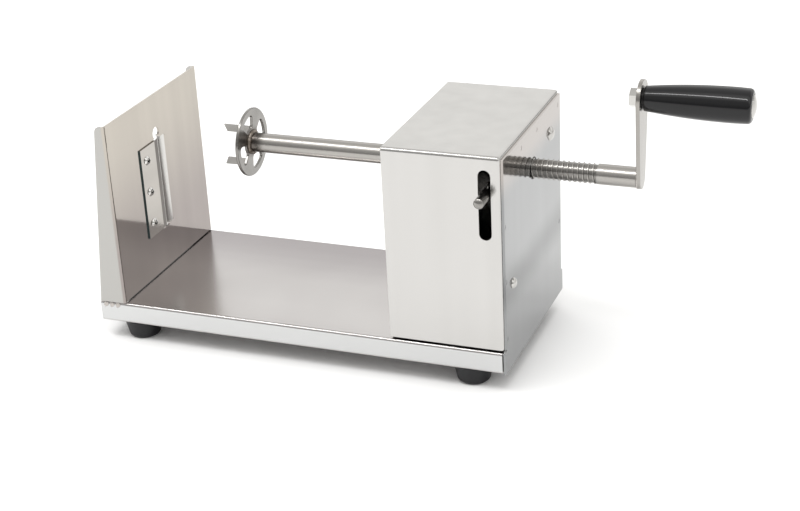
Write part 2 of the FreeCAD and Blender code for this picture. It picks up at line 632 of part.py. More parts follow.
end_plate = new_body("end_plate_body")
pad(end_plate, "end_sheet_outline", "X", f"{PLATE_FACE} + end_sheet / 2", "end_sheet", end_outline)
cut(end_plate, "end_plate_holes", "X", f"{PLATE_FACE} + end_sheet / 2", "end_sheet * 2", end_holes)
cut(end_plate, "end_plate_spots", "X", PLATE_OUTSIDE, "spot_depth * 2", spot_marks)
node("end_plate", end_plate)

# Bushes: flanged plastic rings that guide the tube in the inner wall and behind the end plate
BUSH_BORE = "tube_radius + bush_play"
node("front_bush", turned("front_bush_body", [
    ("-bush_flange", BUSH_BORE), ("bush_length - bush_flange", BUSH_BORE),
    ("bush_length - bush_flange", "bush_radius"), ("0", "bush_radius"),
    ("0", "bush_flange_radius"), ("-bush_flange", "bush_flange_radius"),
], (WALL_X, "0", AXIS)))
node("rear_bush", turned("rear_bush_body", [
    ("0", BUSH_BORE), ("0", "bush_flange_radius"), ("-bush_flange", "bush_flange_radius"),
    ("-bush_flange", "bush_radius"), ("-bush_length + bush_flange", "bush_radius"),
    ("-bush_length + bush_flange", BUSH_BORE),
], (PLATE_FACE, "0", AXIS)))

# Spindle tube: a thick tube with one continuous raised thread, milled from the full diameter
GROOVE_START = f"({THREAD_START} - groove_lead)"
GROOVE_END = f"({THREAD_START} + thread_turns * thread_pitch + groove_tail)"
tube = turned("spindle_tube_body", [
    (FORK_FACE, "bore_radius"), (ARM_FACE, "bore_radius"), (ARM_FACE, "tube_radius"),
    (GROOVE_END, "tube_radius"), (GROOVE_END, "thread_root_radius"),
    (GROOVE_START, "thread_root_radius"), (GROOVE_START, "tube_radius"), (FORK_FACE, "tube_radius"),
], ("0", "0", AXIS))
ridge = new_sketch(tube, "thread_ridge", "Y")
RIDGE_SINK = 0.2
outline(ridge, [
    (f"{THREAD_START} - ridge_foot / 2", f"thread_root_radius - {RIDGE_SINK}"),
    (f"{THREAD_START} - ridge_crest / 2", "tube_radius"),
    (f"{THREAD_START} + ridge_crest / 2", "tube_radius"),
    (f"{THREAD_START} + ridge_foot / 2", f"thread_root_radius - {RIDGE_SINK}"),
])
thread = tube.newObject("PartDesign::AdditiveHelix", "thread_helix")
thread.Profile = ridge
thread.ReferenceAxis = (ridge, ["H_Axis"])
thread.Mode = 0
bind(thread, "Pitch", "thread_pitch")
bind(thread, "Height", "thread_pitch * thread_turns")
ridge.Visibility = False
print("least gap between thread turns, mm:", number("thread_pitch - ridge_foot"))
node("spindle_tube", tube)

# Weld fillets: a round bead where the fork meets the tube, and one where the arm does, flush with its foot
ARM_FOOT = "(tube_radius + arm_weld_leg)"
node("fork_weld", turned("fork_weld_body", [
    ("0", "tube_radius"), ("weld_leg", "tube_radius"), ("0", "tube_radius + weld_leg"),
], (FORK_FACE, "0", AXIS)))
node("arm_weld", turned("arm_weld_body", [
    ("0", "tube_radius"), ("0", ARM_FOOT), ("-arm_weld_leg", "tube_radius"),
], (ARM_FACE, "0", AXIS)))

# Fork: a disc with rounded edges and four windows, and two flat prongs welded to its blade side


def rim_spot(radius, angle):
    return f"{radius} * cos({angle} * 1 deg)", f"{AXIS} + {radius} * sin({angle} * 1 deg)"


def fork_window(sketch, first):
    last = f"({first} + fork_window_span)"
    outline(sketch, [
        rim_spot("fork_window_inner", first),
        (*rim_spot("fork_window_outer", first), "fork_window_outer", -1),
        rim_spot("fork_window_outer", last),
        (*rim_spot("fork_window_inner", last), "fork_window_inner", 1),
    ])


def prong(sketch, low, high):
    tip = f"({FORK_BACK} - prong_length)"
    outline(sketch, [
        (FORK_BACK, f"{AXIS} + {low}"), (f"{tip} + prong_slant", f"{AXIS} + {low}"),
        (tip, f"{AXIS} + {high}"), (FORK_BACK, f"{AXIS} + {high}"),
    ])


fork = new_body("fork_disc_body")
FORK_MIDDLE = f"{FORK_FACE} - fork_sheet / 2"
pad(fork, "fork_outline", "X", FORK_MIDDLE, "fork_sheet", circle, "0", AXIS, "fork_radius")
for quarter in range(4):
    cut(fork, f"fork_window_{quarter}", "X", FORK_MIDDLE, "fork_sheet * 2", fork_window,
        f"(fork_window_turn + {90 * quarter})")
round_edges(fork, "fork_window_corners", "fork_window_round",
            lambda p, d: abs(d.x) > 0.9 and math.hypot(p.y, p.z - number(AXIS)) < number("fork_radius") - 1)
round_edges(fork, "fork_rounded_edges", "fork_edge_round", lambda p, d: abs(d.x) < 0.1)
cut(fork, "fork_bore", "X", FORK_MIDDLE, "fork_sheet * 2", circle, "0", AXIS, "bore_radius")
node("fork_disc", fork)

prongs = []
for prong_name, side, low, high in (("inner", 1, "inner_prong_low", "inner_prong_high"),
                                    ("outer", -1, "-outer_prong_low", "-outer_prong_high")):
    strip = new_body(f"{prong_name}_prong_body")
    pad(strip, f"{prong_name}_prong", "Y", f"{side} * prong_offset", "prong_sheet", prong, low, high)
    prongs.append(strip)
node("fork_prongs", *prongs)

# Crank arm: a tapered strap that closes the tube, with an eye for the grip's bolt
arm = new_body("crank_arm_body")
ARM_MIDDLE = f"{ARM_FACE} + arm_sheet / 2"
pad(arm, "arm_strap", "X", ARM_MIDDLE, "arm_sheet", strap,
    ("0", AXIS), ARM_FOOT, ("0", GRIP_AXIS), "arm_eye_radius")
cut(arm, "arm_eye", "X", ARM_MIDDLE, "arm_sheet * 2", circle, "0", GRIP_AXIS, "bolt_radius + bolt_play")
node("crank_arm", arm)

# Grip bolt: a domed cap head at the far end, a shoulder for the grip and a thread through the arm
GRIP_PLACE = ("0", "0", GRIP_AXIS)
CAP_SEAT = f"({GRIP_END} - grip_recess_depth)"
SHOULDER_START = f"({ARM_OUTSIDE} + grip_washer_thickness)"
BOLT_START = f"({ARM_FACE} - grip_nut_height)"
node("grip_bolt", turned("grip_bolt_body", [
    (BOLT_START, "0"), (BOLT_START, "bolt_radius"), (SHOULDER_START, "bolt_radius"),
    (SHOULDER_START, "shoulder_radius"), (CAP_SEAT, "shoulder_radius"), (CAP_SEAT, "cap_radius"),
    (f"{CAP_SEAT} + cap_skirt", "cap_radius", dome_radius("cap_radius", "cap_dome"), 1),
    (f"{CAP_SEAT} + cap_skirt + cap_dome", "0"),
], GRIP_PLACE))
node("grip_nut", hex_nut("grip_nut_body", "X", f"{ARM_FACE} - grip_nut_height", "grip_nut_height",
                         "grip_nut_across", "bolt_radius", ("0", GRIP_AXIS)))
node("grip_washer", ring("grip_washer_body", ARM_OUTSIDE, SHOULDER_START, "bolt_radius",
                         "grip_washer_radius", GRIP_PLACE))

# Grip: a turned plastic barrel that spins on the bolt's shoulder
BELLY_X = f"({GRIP_START} + grip_belly_place)"
grip = turned("grip_body", [
    (GRIP_START, "shoulder_radius + bolt_play"), (CAP_SEAT, "shoulder_radius + bolt_play"),
    (CAP_SEAT, "cap_radius + cap_play"), (GRIP_END, "cap_radius + cap_play"),
    (GRIP_END, "grip_end_radius", "grip_tail_sweep", -1),
    (BELLY_X, "grip_belly_radius", "grip_neck_sweep", -1),
    (GRIP_START, "grip_neck_radius"),
], GRIP_PLACE)
round_edges(grip, "grip_end_rounding", "grip_end_round",
            lambda p, d: near(p.x, GRIP_END) and math.hypot(p.y, p.z) > number("cap_radius + cap_play") + 1)
node("grip", grip)

# Release lever: a flat plate whose notch drops into the thread and works as the nut
LEVER_NOSE = (NOSE_Y, f"{AXIS} + nose_rise")
lever = new_body("release_lever_body")
pad(lever, "lever_strap", "X", LEVER_X, "lever_sheet", strap, PIVOT, "lever_pivot_radius",
    LEVER_NOSE, "lever_nose_radius")
cut(lever, "lever_notch_root", "X", LEVER_X, "lever_sheet * 2", circle, "0", AXIS,
    "thread_root_radius + notch_play")
cut(lever, "lever_notch_mouth", "X", LEVER_X, "lever_sheet * 2", rectangle, "-notch_half_width",
    "notch_half_width", f"{AXIS} - notch_half_width", f"{AXIS} + notch_height")
cut(lever, "lever_pivot_hole", "X", LEVER_X, "lever_sheet * 2", circle, *PIVOT,
    "pivot_screw_radius + pivot_play")
POST = (ANCHOR_Y, f"{AXIS} + post_rise")
cut(lever, "lever_post_hole", "X", LEVER_X, "lever_sheet * 2", circle, *POST, "post_radius")
node("release_lever", lever)

# Lever pin: a domed rod, slotted at its root and welded astride the lever's nose
pin = new_body("lever_pin_body")
PIN_END = f"({COVER_SIDE} + pin_reach)"
pin_sketch = new_sketch(pin, "pin_profile", "Z", f"{AXIS} + nose_rise")
outline(pin_sketch, [
    (LEVER_X, PIN_ROOT_Y), (LEVER_X, f"-{PIN_END} - pin_dome", dome_radius("pin_radius", "pin_dome"), -1),
    (f"{LEVER_X} + pin_radius", f"-{PIN_END}"), (f"{LEVER_X} + pin_radius", PIN_ROOT_Y),
])
pin_turn = pin.newObject("PartDesign::Revolution", "pin_turn")
pin_turn.Profile = pin_sketch
pin_turn.ReferenceAxis = (pin_sketch, ["Edge1"])
pin_turn.Angle = 360
pin_sketch.Visibility = False
cut(pin, "pin_slot", "X", LEVER_X, "lever_sheet", rectangle,
    f"{NOSE_Y} - lever_nose_radius", f"{PIN_ROOT_Y} + pin_radius / 2",
    f"{AXIS} + nose_rise - pin_radius * 2", f"{AXIS} + nose_rise + pin_radius * 2")
node("lever_pin", pin)

# Spring post: a headed rivet on the lever that carries the spring's upper eye
POST_START = f"({LEVER_X} - lever_sheet / 2)"
POST_END = f"({LEVER_X} + lever_sheet / 2 + post_length)"
node("spring_post", turned("spring_post_body", [
    (f"{POST_START} - post_head", "0"), (f"{POST_START} - post_head", "post_head_radius"),
    (POST_START, "post_head_radius"), (POST_START, "post_radius"), (POST_END, "post_radius"),
    (POST_END, "post_head_radius"), (f"{POST_END} + post_head", "post_head_radius"),
    (f"{POST_END} + post_head", "0"),
], ("0", *POST)))

# Lever pivot: a round-head screw from outside, a spacer, a washer and a nut
PIVOT_PLACE = ("0", *PIVOT)
LEVER_OUT = f"({LEVER_X} + lever_sheet / 2 + pivot_play)"
LEVER_IN = f"({LEVER_X} - lever_sheet / 2 - pivot_play)"
PIVOT_NUT_FACE = f"({LEVER_IN} - pivot_washer_thickness)"
node("pivot_screw", round_screw(
    "pivot_screw_body", "pivot_head_radius", "pivot_head_height", "pivot_screw_radius", PLATE_OUTSIDE,
    f"{PIVOT_NUT_FACE} - pivot_nut_height - screw_end", PIVOT_PLACE))
node("pivot_spacer", ring("pivot_spacer_body", LEVER_OUT, PLATE_FACE, "pivot_screw_radius",
                          "pivot_spacer_radius", PIVOT_PLACE))
node("pivot_washer", ring("pivot_washer_body", PIVOT_NUT_FACE, LEVER_IN, "pivot_screw_radius",
                          "pivot_washer_radius", PIVOT_PLACE))
node("pivot_nut", hex_nut("pivot_nut_body", "X", f"{PIVOT_NUT_FACE} - pivot_nut_height", "pivot_nut_height",
                          "pivot_nut_across", "pivot_screw_radius", PIVOT))

# Spring anchor: the lower round-head screw, locked by a nut against the end plate
node("anchor_screw", round_screw(
    "anchor_screw_body", "anchor_head_radius", "anchor_head_height", "anchor_radius", PLATE_OUTSIDE,
    f"{PLATE_FACE} - anchor_length", ("0", *ANCHOR)))
node("anchor_nut", hex_nut("anchor_nut_body", "X", f"{PLATE_FACE} - anchor_nut_height", "anchor_nut_height",
                           "anchor_nut_across", "anchor_radius", ANCHOR))


# Return spring: one wire with an eye at each end, drawn as arcs that run smoothly into each other
PARALLEL = 1e-9
STRAIGHT = 1e-7


def biarc(first, way, last, last_way):
    """Two arcs from one point and direction to another, smooth where they meet."""
    gap = last.sub(first)
    ways = way.add(last_way)
    spread = 2 * (1 - way.dot(last_way))
    along = gap.dot(ways)
    if spread < PARALLEL:
        reach = gap.Length ** 2 / (4 * gap.dot(last_way))
    else:
        reach = (-along + math.sqrt(along ** 2 + spread * gap.Length ** 2)) / spread
    knee = first.add(way * reach)
    next_knee = last.sub(last_way * reach)
    joint = knee.add(next_knee).multiply(0.5)
    return [arc_by_knee(first, knee, joint), arc_by_knee(joint, next_knee, last)]


def arc_by_knee(first, knee, last):
    middle = first.add(last).multiply(0.5)
    base = last.sub(first).Length / 2
    rise = knee.sub(middle)
    if rise.Length < STRAIGHT:
        return Part.LineSegment(first, last).toShape()
    quarter = math.atan2(rise.Length, base) / 2
    crown = middle.add(rise.multiply(base * math.tan(quarter) / rise.Length))
    return Part.Arc(first, crown, last).toShape()


def spring_path():
    """Points and directions along the wire, from the anchor's eye up to the post's eye."""
    coil, eye = number("spring_coil_radius"), number("spring_eye_radius")
    play = number("spring_eye_radius - spring_wire_radius - spring_play")
    centre_x = number(f"{PLATE_FACE} - spring_setback")
    centre_y = number(ANCHOR_Y)
    low = number(f"{AXIS} - anchor_drop") + play - number("anchor_radius")
    high = number(f"{AXIS} + post_rise") - play + number("post_radius")
    start_z, stop_z = low + eye, high - eye
    eye_x = centre_x - coil
    points = []
    for angle in (-30, 45):
        turn = math.radians(angle)
        points.append((Vector(eye_x, centre_y - eye * math.cos(turn), low + eye * math.sin(turn)),
                       Vector(0, math.sin(turn), math.cos(turn))))
    steps = round(number("spring_turns")) * 4
    slope = (stop_z - start_z) / (number("spring_turns") * 2 * math.pi * coil)
    for step in range(steps + 1):
        turn = math.pi / 2 * step
        level = 0.0 if step in (0, steps) else slope
        spot = Vector(centre_x - coil * math.cos(turn), centre_y + coil * math.sin(turn),
                      start_z + (stop_z - start_z) * step / steps)
        way = Vector(math.sin(turn), math.cos(turn), level).normalize()
        points.append((spot, way))
    for angle in (-45, 30):
        turn = math.radians(angle)
        points.append((Vector(eye_x, centre_y + eye * math.cos(turn), high + eye * math.sin(turn)),
                       Vector(0, -math.sin(turn), math.cos(turn))))
    return points


route = spring_path()
arcs = []
for (spot, way), (next_spot, next_way) in zip(route, route[1:]):
    arcs += biarc(spot, way, next_spot, next_way)
section = Part.Wire([Part.Circle(route[0][0], route[0][1], number("spring_wire_radius")).toShape()])
wire_solid = Part.Wire(arcs).makePipeShell([section], True, False)
spring = document.addObject("Part::Feature", "return_spring_body")
spring.Shape = wire_solid
coil_pitch = (route[-3][0].z - route[2][0].z) / number("spring_turns")
print("least gap between spring turns, mm:", round(coil_pitch - number("spring_wire_radius * 2"), 2))
node("return_spring", spring)

# Checks on every object, then one file for each node
document.recompute()
faults = [o.Label for o in document.Objects if {"Invalid", "Error"} & set(o.State)]
for name, whole in NODES.items():
    if whole.Shape.isNull() or not whole.Shape.isValid() or not whole.Shape.Solids:
        faults.append(name)
if faults:
    raise RuntimeError(f"these are not sound: {sorted(set(faults))}")

os.makedirs("parts", exist_ok=True)
for name, whole in NODES.items():
    whole.Shape.exportStep(f"parts/{name}.step")
print(len(NODES), "nodes written")
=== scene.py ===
import json
import math

import bmesh
import bpy
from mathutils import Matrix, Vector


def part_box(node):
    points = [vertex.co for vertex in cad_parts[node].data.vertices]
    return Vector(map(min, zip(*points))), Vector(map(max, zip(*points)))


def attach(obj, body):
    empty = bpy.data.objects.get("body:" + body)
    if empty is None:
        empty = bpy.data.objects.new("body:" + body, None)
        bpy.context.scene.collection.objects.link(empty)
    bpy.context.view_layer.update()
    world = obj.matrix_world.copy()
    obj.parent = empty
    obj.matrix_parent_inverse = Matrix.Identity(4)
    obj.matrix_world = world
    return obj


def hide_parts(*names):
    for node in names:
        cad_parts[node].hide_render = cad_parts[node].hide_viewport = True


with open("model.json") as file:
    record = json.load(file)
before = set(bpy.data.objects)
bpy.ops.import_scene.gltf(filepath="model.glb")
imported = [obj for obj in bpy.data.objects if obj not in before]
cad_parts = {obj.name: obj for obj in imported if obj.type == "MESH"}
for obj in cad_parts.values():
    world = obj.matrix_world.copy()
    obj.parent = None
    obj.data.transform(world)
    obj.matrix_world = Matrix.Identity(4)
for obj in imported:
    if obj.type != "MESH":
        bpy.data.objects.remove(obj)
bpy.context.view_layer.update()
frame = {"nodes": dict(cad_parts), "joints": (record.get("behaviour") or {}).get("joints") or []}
nodes = frame["nodes"]
MM = 0.001

# The view: a long lens above the crank side's front corner, looking down on the base. It is rolled a little
# about its line of sight.
SENSOR_WIDTH = 36
FOCAL_LENGTH = 74.36
VIEW_PLACE = (0.5228, -1.1354, 0.6293)
VIEW_DEGREES = (65.355, 2.729, 20.769)
view_data = bpy.data.cameras.new("product_view")
view_data.sensor_width = SENSOR_WIDTH
view_data.lens = FOCAL_LENGTH
view = bpy.data.objects.new("product_view", view_data)
view.location = VIEW_PLACE
view.rotation_euler = [math.radians(a) for a in VIEW_DEGREES]
bpy.context.collection.objects.link(view)
bpy.context.scene.camera = view

# The studio: a pale surround with a brighter wall behind, a broad light panel high in front and dim lines
# along the front and back horizons, so that rounded metal shows bands. A long lamp gives the clear
# highlights, and a wide one overhead lifts the shadows and isn't mirrored by the metal.
SURROUND = (
    (-180, 0.90), (-90, 0.90), (-3, 0.95), (-1, 0.35), (8, 0.35), (20, 0.55), (42, 0.65), (56, 1.55),
    (76, 1.55), (92, 0.85), (125, 0.95), (148, 1.30), (165, 1.30), (171, 0.40), (180, 0.40),
)
WARMTH = (1.0, 0.995, 0.98)
surround = bpy.data.worlds.new("pale_surround")
surround.use_nodes = True
tree = surround.node_tree
bearing = tree.nodes.new("ShaderNodeTexCoord")
split = tree.nodes.new("ShaderNodeSeparateXYZ")
toward_front = tree.nodes.new("ShaderNodeMath")
toward_front.operation = "MULTIPLY"
toward_front.inputs[1].default_value = -1.0
turn_up = tree.nodes.new("ShaderNodeMath")
turn_up.operation = "ARCTAN2"
share = tree.nodes.new("ShaderNodeMapRange")
share.inputs["From Min"].default_value = -math.pi
share.inputs["From Max"].default_value = math.pi
tone = tree.nodes.new("ShaderNodeValToRGB")
for count, (degrees, light) in enumerate(SURROUND):
    place = (degrees + 180) / 360
    if count == 0:
        stop = tone.color_ramp.elements[0]
    elif count == len(SURROUND) - 1:
        stop = tone.color_ramp.elements[-1]
    else:
        stop = tone.color_ramp.elements.new(place)
    stop.color = (*[light * channel for channel in WARMTH], 1)
tree.links.new(bearing.outputs["Generated"], split.inputs[0])
tree.links.new(split.outputs["Y"], toward_front.inputs[0])
tree.links.new(split.outputs["Z"], turn_up.inputs[0])
tree.links.new(toward_front.outputs[0], turn_up.inputs[1])
tree.links.new(turn_up.outputs[0], share.inputs["Value"])
tree.links.new(share.outputs[0], tone.inputs["Fac"])
tree.links.new(tone.outputs["Color"], tree.nodes["Background"].inputs["Color"])
bpy.context.scene.world = surround
bpy.context.scene.view_settings.view_transform = "Standard"


def soft_box(name, place, aim, size, power, mirrored=True):
    data = bpy.data.lights.new(name, "AREA")
    data.shape = "RECTANGLE"
    data.size, data.size_y = size
    data.energy = power
    lamp = bpy.data.objects.new(name, data)
    lamp.location = place
    way = Vector(aim) - Vector(place)
    lamp.rotation_euler = way.to_track_quat("-Z", "Y").to_euler()
    lamp.visible_glossy = mirrored
    bpy.context.collection.objects.link(lamp)


soft_box("high_front_box", place=(-0.4, -0.64, 1.72), aim=(-0.2, 0, 0.1), size=(2.2, 0.12), power=11)
soft_box("overhead_box", place=(0, 0.3, 3.0), aim=(0, 0, 0), size=(3.0, 3.0), power=20, mirrored=False)

# The floor: a wide matt white sheet of paper under the feet. It is faintly flecked, so that it isn't one
# flat tone.
FLOOR_HALF = 5.0
floor_mesh = bpy.data.meshes.new("floor_sheet")
floor_corners = [(x * FLOOR_HALF, y * FLOOR_HALF, 0) for x, y in ((-1, -1), (1, -1), (1, 1), (-1, 1))]
floor_mesh.from_pydata(floor_corners, [], [(0, 1, 2, 3)])
floor_sheet = bpy.data.objects.new("floor_sheet", floor_mesh)
bpy.context.collection.objects.link(floor_sheet)
floor_paper = bpy.data.materials.new("floor_paper")
floor_paper.use_nodes = True
paper_tree = floor_paper.node_tree
paper_shader = paper_tree.nodes["Principled BSDF"]
paper_shader.inputs["Roughness"].default_value = 0.9
paper_shader.inputs["Specular IOR Level"].default_value = 0.1
paper_fleck = paper_tree.nodes.new("ShaderNodeTexNoise")
paper_fleck.inputs["Scale"].default_value = 3.0
paper_tone = paper_tree.nodes.new("ShaderNodeMapRange")
paper_tone.inputs["To Min"].default_value = 0.93
paper_tone.inputs["To Max"].default_value = 0.95
paper_tree.links.new(paper_fleck.outputs["Fac"], paper_tone.inputs["Value"])
paper_tree.links.new(paper_tone.outputs[0], paper_shader.inputs["Base Color"])
floor_mesh.materials.append(floor_paper)


# Base tray: one stainless sheet, folded down along its sides and in under them. It is brushed along its
# length and polished after folding, so fine lines, soft cloudy patches and slight waves show in its mirror.
def group_with(name, inputs, outputs):
    """An empty shader group with its sockets, and its entry and exit."""
    group = bpy.data.node_groups.new(name, "ShaderNodeTree")
    for label, kind in inputs:
        group.interface.new_socket(label, in_out="INPUT", socket_type=f"NodeSocket{kind}")
    for label, kind in outputs:
        group.interface.new_socket(label, in_out="OUTPUT", socket_type=f"NodeSocket{kind}")
    return group, group.nodes.new("NodeGroupInput"), group.nodes.new("NodeGroupOutput")


def brushed_sheet():
    group, entry, leave = group_with(
        "brushed_sheet", (("Line Scale", "Vector"), ("Band Scale", "Vector"), ("Cloud Scale", "Float")),
        (("Lines", "Float"), ("Tone", "Float"), ("Waves", "Float")))
    parts = group.nodes
    link = group.links.new
    place = parts.new("ShaderNodeTexCoord")
    patterns = {}
    for label, detail in (("Line Scale", 3.0), ("Band Scale", 2.0)):
        stretch = parts.new("ShaderNodeVectorMath")
        stretch.operation = "MULTIPLY"
        link(place.outputs["Object"], stretch.inputs[0])
        link(entry.outputs[label], stretch.inputs[1])
        grain = parts.new("ShaderNodeTexNoise")
        grain.inputs["Scale"].default_value = 1.0
        grain.inputs["Detail"].default_value = detail
        link(stretch.outputs[0], grain.inputs["Vector"])
        patterns[label] = grain.outputs["Fac"]
    cloud = parts.new("ShaderNodeTexNoise")
    cloud.inputs["Detail"].default_value = 2.0
    cloud.inputs["Distortion"].default_value = 0.6
    link(place.outputs["Object"], cloud.inputs["Vector"])
    link(entry.outputs["Cloud Scale"], cloud.inputs["Scale"])
    both = parts.new("ShaderNodeMath")
    both.operation = "ADD"
    link(cloud.outputs["Fac"], both.inputs[0])
    link(patterns["Band Scale"], both.inputs[1])
    spread = parts.new("ShaderNodeMapRange")
    spread.inputs["From Min"].default_value = 0.6
    spread.inputs["From Max"].default_value = 1.4
    link(both.outputs[0], spread.inputs["Value"])
    waves = parts.new("ShaderNodeTexNoise")
    waves.inputs["Scale"].default_value = 11.0
    waves.inputs["Detail"].default_value = 0.0
    link(place.outputs["Object"], waves.inputs["Vector"])
    link(patterns["Line Scale"], leave.inputs["Lines"])
    link(spread.outputs[0], leave.inputs["Tone"])
    link(waves.outputs["Fac"], leave.inputs["Waves"])
    return group


brushed = brushed_sheet()
LINE_HEIGHT = 0.05


def steel_finish(name, dark, light, roughness, lines, bands, depth, wave=0.0, edge=0.4, haze=0.05):
    """Bare stainless: brushed lines in the surface, clouds in colour and gloss, softened edges."""
    finish = bpy.data.materials.new(name)
    finish.use_nodes = True
    parts = finish.node_tree.nodes
    link = finish.node_tree.links.new
    shader = parts["Principled BSDF"]
    shader.inputs["Metallic"].default_value = 1.0
    marks = parts.new("ShaderNodeGroup")
    marks.node_tree = brushed
    marks.inputs["Line Scale"].default_value = lines
    marks.inputs["Band Scale"].default_value = bands
    marks.inputs["Cloud Scale"].default_value = 7.0
    tint = parts.new("ShaderNodeMix")
    tint.data_type = "RGBA"
    tint.inputs["A"].default_value = (*dark, 1)
    tint.inputs["B"].default_value = (*light, 1)
    link(marks.outputs["Tone"], tint.inputs["Factor"])
    link(tint.outputs["Result"], shader.inputs["Base Color"])
    gloss = parts.new("ShaderNodeMapRange")
    gloss.inputs["To Min"].default_value = roughness + haze / 2
    gloss.inputs["To Max"].default_value = roughness - haze / 2
    link(marks.outputs["Tone"], gloss.inputs["Value"])
    link(gloss.outputs[0], shader.inputs["Roughness"])
    soft_edge = parts.new("ShaderNodeBevel")
    soft_edge.inputs["Radius"].default_value = edge * MM
    normal = soft_edge.outputs[0]
    for pattern, height in (("Waves", wave), ("Lines", LINE_HEIGHT)):
        if height:
            bump = parts.new("ShaderNodeBump")
            bump.inputs["Strength"].default_value = depth if pattern == "Lines" else 1.0
            bump.inputs["Distance"].default_value = height * MM
            link(marks.outputs[pattern], bump.inputs["Height"])
            link(normal, bump.inputs["Normal"])
            normal = bump.outputs[0]
    link(normal, shader.inputs["Normal"])
    return finish


def soft_patch():
    """How much of a mark shows at a place: full inside its core, none beyond its reach on any axis."""
    group, entry, leave = group_with(
        "soft_patch", (("Middle", "Vector"), ("Scale", "Vector"), ("Core", "Float")), (("Share", "Float"),))
    parts = group.nodes
    link = group.links.new
    place = parts.new("ShaderNodeTexCoord")
    gap = parts.new("ShaderNodeVectorMath")
    gap.operation = "SUBTRACT"
    link(place.outputs["Object"], gap.inputs[0])
    link(entry.outputs["Middle"], gap.inputs[1])
    scaled = parts.new("ShaderNodeVectorMath")
    scaled.operation = "MULTIPLY"
    link(gap.outputs[0], scaled.inputs[0])
    link(entry.outputs["Scale"], scaled.inputs[1])
    away = parts.new("ShaderNodeVectorMath")
    away.operation = "ABSOLUTE"
    link(scaled.outputs[0], away.inputs[0])
    split = parts.new("ShaderNodeSeparateXYZ")
    link(away.outputs[0], split.inputs[0])
    farthest = split.outputs["X"]
    for axis in "YZ":
        larger = parts.new("ShaderNodeMath")
        larger.operation = "MAXIMUM"
        link(farthest, larger.inputs[0])
        link(split.outputs[axis], larger.inputs[1])
        farthest = larger.outputs[0]
    ease = parts.new("ShaderNodeMapRange")
    ease.interpolation_type = "SMOOTHSTEP"
    ease.inputs["To Min"].default_value = 1.0
    ease.inputs["To Max"].default_value = 0.0
    link(farthest, ease.inputs["Value"])
    link(entry.outputs["Core"], ease.inputs["From Min"])
    link(ease.outputs[0], leave.inputs["Share"])
    return group


patch = soft_patch()


def mark(finish, middle, reach, colour, core=0.0, blend="MULTIPLY", roughness=None):
    """Colours the finish round a place, for painted light and shade and for a sheet's own tone. A reach of
    zero on an axis means all along it.
    """
    parts = finish.node_tree.nodes
    link = finish.node_tree.links.new
    shader = parts["Principled BSDF"]
    where = parts.new("ShaderNodeGroup")
    where.node_tree = patch
    where.inputs["Middle"].default_value = middle
    where.inputs["Scale"].default_value = [1 / r if r else 0 for r in reach]
    where.inputs["Core"].default_value = core
    mix = parts.new("ShaderNodeMix")
    mix.data_type = "RGBA"
    mix.blend_type = blend
    mix.inputs["B"].default_value = (*colour, 1)
    link(where.outputs["Share"], mix.inputs["Factor"])
    link(shader.inputs["Base Color"].links[0].from_socket, mix.inputs["A"])
    link(mix.outputs["Result"], shader.inputs["Base Color"])
    if roughness is not None:
        gloss = parts.new("ShaderNodeMix")
        gloss.inputs["B"].default_value = roughness
        link(where.outputs["Share"], gloss.inputs["Factor"])
        link(shader.inputs["Roughness"].links[0].from_socket, gloss.inputs["A"])
        link(gloss.outputs["Result"], shader.inputs["Roughness"])


def dress(node_name, finish):
    for slot in nodes[node_name].material_slots:
        slot.material = finish


LINES_ALONG_X = (14, 1100, 1100)
BANDS_ALONG_X = (1.0, 22, 22)
tray_low, tray_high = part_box("base_tray")
BACK_SHADE_REACH = (0, 100 * MM, 0)
FRONT_LIGHT_REACH = (0, 1 * MM, 8 * MM)
GAP_SHADE_REACH = (1.1 * MM, 77.5 * MM, 0.5 * MM)
HALF_WEB = 0.75 * MM
tray_steel = steel_finish("tray_sheet", dark=(0.455, 0.437, 0.430), light=(0.53, 0.513, 0.504),
                          roughness=0.21, lines=LINES_ALONG_X, bands=BANDS_ALONG_X, depth=0.18, wave=0.12)
# Painted shade: the tray's colour is darkened towards its back.
mark(tray_steel, (0, tray_high[1], 0), BACK_SHADE_REACH, colour=(0.62, 0.60, 0.615))
# Painted light: the tray's front face is painted lighter.
front_middle = (0, tray_low[1], (tray_low[2] + tray_high[2]) / 2)
mark(tray_steel, front_middle, FRONT_LIGHT_REACH, colour=(0.60, 0.603, 0.602), core=0.8, blend="MIX")
# Painted shade: a near-black line on the tray under the panel's web stands in for the shade in the gap there.
web_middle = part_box("blade_panel")[1][0] - HALF_WEB
mark(tray_steel, (web_middle, 0, tray_high[2]), GAP_SHADE_REACH, colour=(0.02, 0.02, 0.02), core=0.9)
dress("base_tray", tray_steel)


